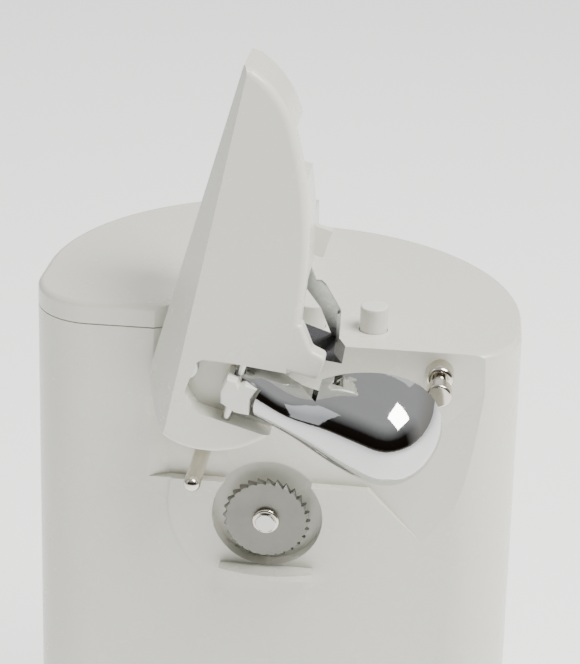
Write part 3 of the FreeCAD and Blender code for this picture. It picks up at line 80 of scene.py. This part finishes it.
def add(tree, kind, settings=None, links=None):
    """Adds a node, sets its inputs and properties, and links sockets into its inputs."""
    node = tree.nodes.new(kind)
    for key, value in (settings or {}).items():
        if key in node.inputs:
            node.inputs[key].default_value = value
        else:
            setattr(node, key, value)
    for key, source in (links or {}).items():
        tree.links.new(source, node.inputs[key])
    return node


def fresh(name):
    """An empty node material with its output node."""
    material = bpy.data.materials.new(name)
    material.use_nodes = True
    tree = material.node_tree
    tree.nodes.clear()
    output = add(tree, "ShaderNodeOutputMaterial")
    place = add(tree, "ShaderNodeTexCoord").outputs["Object"]
    return material, tree, output, place


def spread(tree, source, low, high):
    """A value from 0 to 1 spread between two others."""
    return add(tree, "ShaderNodeMapRange", {"To Min": low, "To Max": high, "From Min": 0.3, "From Max": 0.7},
               {"Value": source}).outputs["Result"]


def tinted(tree, source, first, second):
    """A colour between two, mixed by a value."""
    mix = add(tree, "ShaderNodeMix", {"data_type": "RGBA"}, {"Factor": source})
    mix.inputs[6].default_value = srgb(first)
    mix.inputs[7].default_value = srgb(second)
    return mix.outputs[2]


def ramp_node(tree, source, stops):
    """A colour ramp with the given places and colours, driven by a value."""
    ramp = add(tree, "ShaderNodeValToRGB", None, {"Fac": source})
    elements = ramp.color_ramp.elements
    while len(elements) < len(stops):
        elements.new(0.5)
    for element, (place, code) in zip(elements, stops):
        element.position = place
        element.color = srgb(code)
    return ramp.outputs["Color"]


def noise(tree, place, cell_mm, detail=2.0):
    """Noise with cells of a real size."""
    return add(tree, "ShaderNodeTexNoise", {"Scale": waves_per_metre(cell_mm), "Detail": detail},
               {"Vector": place}).outputs["Fac"]


def moulded_plastic(name, light, shade, roughness, grain_mm=0.5, relief_mm=0.01, ior=1.54, glow=0.0):
    """Injection-moulded thermoplastic: even colour with faint mottle, fine orange peel and soft gloss."""
    material, tree, output, place = fresh(name)
    mottle = noise(tree, place, MOTTLE_MM, 3.0)
    grain = noise(tree, place, grain_mm, 2.0)
    handling = noise(tree, place, HANDLING_MM, 4.0)
    bump = add(tree, "ShaderNodeBump", {"Strength": PLASTIC_BUMP, "Distance": relief_mm * MM}, {"Height": grain})
    shader = add(tree, "ShaderNodeBsdfPrincipled", {"IOR": ior, "Subsurface Weight": glow,
                                                    "Subsurface Radius": (0.004, 0.0035, 0.003),
                                                    "Subsurface Scale": 0.5},
                 {"Base Color": tinted(tree, mottle, light, shade),
                  "Roughness": spread(tree, handling, roughness - 0.04, roughness + 0.05),
                  "Normal": bump.outputs["Normal"]})
    tree.links.new(shader.outputs["BSDF"], output.inputs["Surface"])
    return material


def metal(name, light, shade, roughness, grain=(1.0, 1.0, 1.0), grain_mm=0.3, relief_mm=0.004, spread_by=0.08,
          strength=0.3, coat=0.0):
    """A bare or plated metal: its own reflectance, fine tool marks along one direction and small stains."""
    material, tree, output, place = fresh(name)
    stretched = add(tree, "ShaderNodeMapping", {"Scale": grain}, {"Vector": place}).outputs["Vector"]
    marks = noise(tree, stretched, grain_mm, 3.0)
    stains = noise(tree, place, STAIN_MM, 4.0)
    bump = add(tree, "ShaderNodeBump", {"Strength": strength, "Distance": relief_mm * MM}, {"Height": marks})
    shader = add(tree, "ShaderNodeBsdfPrincipled", {"Metallic": 1.0, "Coat Weight": coat},
                 {"Base Color": tinted(tree, stains, light, shade),
                  "Roughness": spread(tree, marks, max(0.02, roughness - spread_by), roughness + spread_by),
                  "Normal": bump.outputs["Normal"]})
    tree.links.new(shader.outputs["BSDF"], output.inputs["Surface"])
    return material


def finishes(gloss):
    """Every material, by the slot of the record that it finishes."""
    return {
        # gloss off-white ABS, injection moulded
        "white_abs": moulded_plastic("white_abs_moulded", "#DADAD0", "#D5D5CA", gloss, 0.6, 0.012, 1.54, 0.05),
        # natural white acetal, injection moulded
        "white_acetal": moulded_plastic("white_acetal_moulded", "#DFDFD9", "#D9D9D2", 0.34, 0.5, 0.01, 1.48, 0.08),
        # pale grey polycarbonate, matt from a spark-eroded mould
        "grey_polycarbonate": moulded_plastic("grey_polycarbonate_textured", "#B9B9B2", "#ACACA6", 0.55, 0.35,
                                              0.04, 1.585),
        # black glass-filled nylon
        "black_nylon": moulded_plastic("black_nylon_moulded", "#161616", "#1F1F1F", 0.48, 0.3, 0.03, 1.53),
        # natural acetal gears
        "gear_acetal": moulded_plastic("natural_acetal_gears", "#E6E2CF", "#DDD8C2", 0.36, 0.4, 0.01, 1.48, 0.08),
        # soft black rubber, compression moulded
        "soft_rubber": moulded_plastic("rubber_moulded", "#191817", "#242220", 0.7, 0.3, 0.04, 1.52),
        # pressed and sintered steel, matt and slightly porous
        "sintered_steel": metal("sintered_steel_pressed", "#85857F", "#70706B", 0.48, grain_mm=0.18, relief_mm=0.02,
                                spread_by=0.1, strength=0.6),
        # zinc-plated pressed steel
        "zinc_plated_steel": metal("zinc_plated_steel_pressed", "#C2C4C0", "#A9ABA6", 0.34, (1, 6, 1), 0.5),
        # cold-drawn spring wire
        "spring_steel": metal("spring_wire_drawn", "#A5A5A2", "#8C8C88", 0.3, (1, 1, 8), 0.2),
        # hardened tool steel, oil blackened and ground at its edge
        "hardened_steel": metal("tool_steel_hardened", "#5C5C60", "#434347", 0.22, (1, 1, 6), 0.3),
        # ground and polished steel
        "ground_steel": metal("steel_ground", "#C9C9C5", "#B5B5B0", 0.2, (1, 9, 1), 0.25),
        # turned steel, bright nickel plated
        "nickel_plated_steel": metal("bright_nickel_on_turned_steel", "#D9D4C8", "#C8C2B5", 0.14, (1, 12, 1), 0.3,
                                     0.003, 0.05),
        # die-cast zinc, polished and chrome plated
        "chrome_plated_zinc": metal("chrome_on_die_cast_zinc", "#C4C5C5", "#BCBDBE", 0.05, grain_mm=1.4,
                                    relief_mm=0.002, spread_by=0.02, strength=0.15),
        # stacked silicon-steel laminations
        "electrical_steel": metal("silicon_steel_laminations", "#7C7C80", "#5F5F64", 0.42, (1, 14, 1), 0.5, 0.02,
                                  0.1, 0.7),
        # enamelled copper wire, wound in layers
        "enamelled_copper": metal("enamelled_copper_winding", "#A8532A", "#7C3718", 0.3, (9, 1, 1), 0.4, 0.08, 0.1,
                                  0.9, 0.6),
        # oil-filled sintered bronze
        "sintered_bronze": metal("sintered_bronze", "#B08A55", "#8F6C3F", 0.4, grain_mm=0.15, relief_mm=0.01),
        # pressed and sintered ferrite
        "ferrite": moulded_plastic("ferrite_sintered", "#2B2A2A", "#3A3838", 0.5, 0.2, 0.03, 2.2),
    }


def apply_finish(material, slot_name):
    """Gives a finish to every CAD node of one slot of the record."""
    for subpart in frame["record"]["subparts"]:
        if subpart["material_slot"] != slot_name:
            continue
        mesh = NODES[subpart["node"]].data
        for index in range(max(1, len(mesh.materials))):
            if index < len(mesh.materials):
                mesh.materials[index] = material
            else:
                mesh.materials.append(material)


def aim(location, target):
    """The rotation that points a light or camera from one place to another."""
    return (Vector(target) - Vector(location)).to_track_quat("-Z", "Y").to_euler()


def area_light(name, location, target, width, height, watts, colour):
    """A soft rectangular light, aimed at a point."""
    lamp = bpy.data.lights.new(name, "AREA")
    lamp.shape = "RECTANGLE"
    lamp.size = width
    lamp.size_y = height
    lamp.energy = watts
    lamp.color = srgb(colour)[:3]
    holder = bpy.data.objects.new(name, lamp)
    holder.location = location
    holder.rotation_euler = aim(location, target)
    bpy.context.scene.collection.objects.link(holder)
    return holder


# ---------------------------------------------------------------- settings
class FinishSettings(bpy.types.PropertyGroup):
    """How the surfaces look."""

    plastic_gloss: FloatProperty(name="Plastic roughness", description="Roughness of the gloss plastic",
                                 default=0.25, min=0.05, max=1.0, subtype="FACTOR")


class StageSettings(bpy.types.PropertyGroup):
    """Camera, floor and light."""

    camera_place: FloatVectorProperty(name="Camera place", description="Where the camera stands",
                                                default=(0.0467, -0.4431, 0.4099), unit="LENGTH", size=3)
    pitch: FloatProperty(name="Pitch", description="How far the camera looks down", default=math.radians(24.0),
                         subtype="ANGLE")
    yaw: FloatProperty(name="Yaw", description="How far the camera looks to the left", default=math.radians(5.74),
                       subtype="ANGLE")
    roll: FloatProperty(name="Roll", description="How far the camera leans", default=math.radians(1.35),
                        subtype="ANGLE")
    lens: FloatProperty(name="Lens", description="Focal length in millimetres on a 36 mm sensor", default=94.9)
    key_watts: FloatProperty(name="Key light", description="Power of the large light above, in watts", default=34.0)
    fill_watts: FloatProperty(name="Fill light", default=1.0,
                              description="Power of the side light and of the light behind, in watts")
    floor_glow: FloatProperty(name="Floor glow", description="How much the lit card floor adds of its own light",
                              default=0.9)
    room: FloatProperty(name="Room light", description="Strength of the light from the room", default=0.62)


# ---------------------------------------------------------------- operators
class CANOPENER_OT_finishes(bpy.types.Operator):
    """Give every CAD node its finish"""

    bl_idname = "can_opener.finishes"
    bl_label = "Finishes"
    bl_options = {"REGISTER", "UNDO"}

    def execute(self, context):
        gloss = context.scene.can_opener_finish.plastic_gloss
        for slot_name, material in finishes(gloss).items():
            apply_finish(material, slot_name)
        return {"FINISHED"}


class CANOPENER_OT_stage(bpy.types.Operator):
    """Set up the camera, the floor and the lights"""

    bl_idname = "can_opener.stage"
    bl_label = "Stage"
    bl_options = {"REGISTER", "UNDO"}

    def execute(self, context):
        settings = context.scene.can_opener_stage
        scene = context.scene
        # camera
        lens = bpy.data.cameras.new("camera")
        lens.lens = settings.lens
        lens.sensor_width = 36.0
        lens.clip_start = 0.01
        camera = bpy.data.objects.new("camera", lens)
        pitch, yaw, roll = settings.pitch, settings.yaw, settings.roll
        ahead = Vector((-math.sin(yaw) * math.cos(pitch), math.cos(yaw) * math.cos(pitch), -math.sin(pitch)))
        level = Vector((math.cos(yaw), math.sin(yaw), 0.0))
        above = level.cross(ahead)
        right = level * math.cos(roll) + above * math.sin(roll)
        up = above * math.cos(roll) - level * math.sin(roll)
        camera.matrix_world = Matrix.Translation(settings.camera_place) @ Matrix((
            (right.x, up.x, -ahead.x, 0), (right.y, up.y, -ahead.y, 0), (right.z, up.z, -ahead.z, 0),
            (0, 0, 0, 1)))
        scene.collection.objects.link(camera)
        scene.camera = camera
        # floor
        mesh = bpy.data.meshes.new("floor")
        form = bmesh.new()
        bmesh.ops.create_grid(form, x_segments=1, y_segments=1, size=FLOOR_HALF)
        form.to_mesh(mesh)
        form.free()
        floor = bpy.data.objects.new("floor", mesh)
        scene.collection.objects.link(floor)
        material, tree, output, place = fresh("white_card_floor")
        shader = add(tree, "ShaderNodeBsdfPrincipled", {"Roughness": 0.8, "Emission Color": srgb("#FFFFFF"),
                                                        "Emission Strength": settings.floor_glow},
                     {"Base Color": tinted(tree, noise(tree, place, FLOOR_MM), "#FDFDFC", "#FBFBFA")})
        tree.links.new(shader.outputs["BSDF"], output.inputs["Surface"])
        mesh.materials.append(material)
        # lights
        low, high = (Vector(corner) for corner in LOADED_BOUNDS)
        middle = (low + high) / 2
        lamps = (("key", KEY_LIGHT, settings.key_watts, "#FFFDF8"),
                 ("fill", FILL_LIGHT, settings.fill_watts, "#F6F9FF"),
                 ("back", BACK_LIGHT, settings.fill_watts, "#FFFFFF"))
        for name, (place, width, height), watts, colour in lamps:
            area_light(name, middle + Vector(place), middle, width, height, watts, colour)
        # room: bright above and behind, with a dark brown band low down in front
        world = bpy.data.worlds.new("room")
        world.use_nodes = True
        tree = world.node_tree
        tree.nodes.clear()
        output = add(tree, "ShaderNodeOutputWorld")
        look = add(tree, "ShaderNodeTexCoord").outputs["Generated"]
        split = add(tree, "ShaderNodeSeparateXYZ", None, {"Vector": look})
        behind = ramp_node(tree, split.outputs["Z"], ((0.0, "#D8D4CC"), (0.6, "#FFFFFF")))
        front = ramp_node(tree, split.outputs["Z"], ((0.0, "#8A8278"), (0.04, "#231C16"), (0.42, "#2B2622"),
                                                     (0.62, "#A8A8A8"), (0.85, "#FFFFFF")))
        ahead_share = add(tree, "ShaderNodeMapRange", {"From Min": 0.15, "From Max": -0.45},
                          {"Value": split.outputs["Y"]}).outputs["Result"]
        both = add(tree, "ShaderNodeMix", {"data_type": "RGBA"}, {"Factor": ahead_share})
        tree.links.new(behind, both.inputs[6])
        tree.links.new(front, both.inputs[7])
        light = add(tree, "ShaderNodeBackground", {"Strength": settings.room}, {"Color": both.outputs[2]})
        tree.links.new(light.outputs["Background"], output.inputs["Surface"])
        scene.world = world
        return {"FINISHED"}


class CANOPENER_PT_panel(bpy.types.Panel):
    """Settings and steps of the can opener."""

    bl_idname = "CANOPENER_PT_panel"
    bl_label = "Can opener"
    bl_space_type = "VIEW_3D"
    bl_region_type = "UI"
    bl_category = "Can opener"

    def draw(self, context):
        for settings in (context.scene.can_opener_finish, context.scene.can_opener_stage):
            for name in settings.__annotations__:
                self.layout.prop(settings, name)
        for operator in OPERATORS:
            self.layout.operator(operator.bl_idname)


OPERATORS = (CANOPENER_OT_finishes, CANOPENER_OT_stage)
CLASSES = (FinishSettings, StageSettings, *OPERATORS, CANOPENER_PT_panel)


def register():
    for item in CLASSES:
        bpy.utils.register_class(item)
    bpy.types.Scene.can_opener_finish = PointerProperty(type=FinishSettings)
    bpy.types.Scene.can_opener_stage = PointerProperty(type=StageSettings)


def unregister():
    del bpy.types.Scene.can_opener_stage
    del bpy.types.Scene.can_opener_finish
    for item in reversed(CLASSES):
        bpy.utils.unregister_class(item)


def main():
    """Registers the add-on, then gives every CAD node its finish and sets up the stage."""
    register()
    bpy.ops.can_opener.finishes()
    bpy.ops.can_opener.stage()


if __name__ == "__main__":
    main()
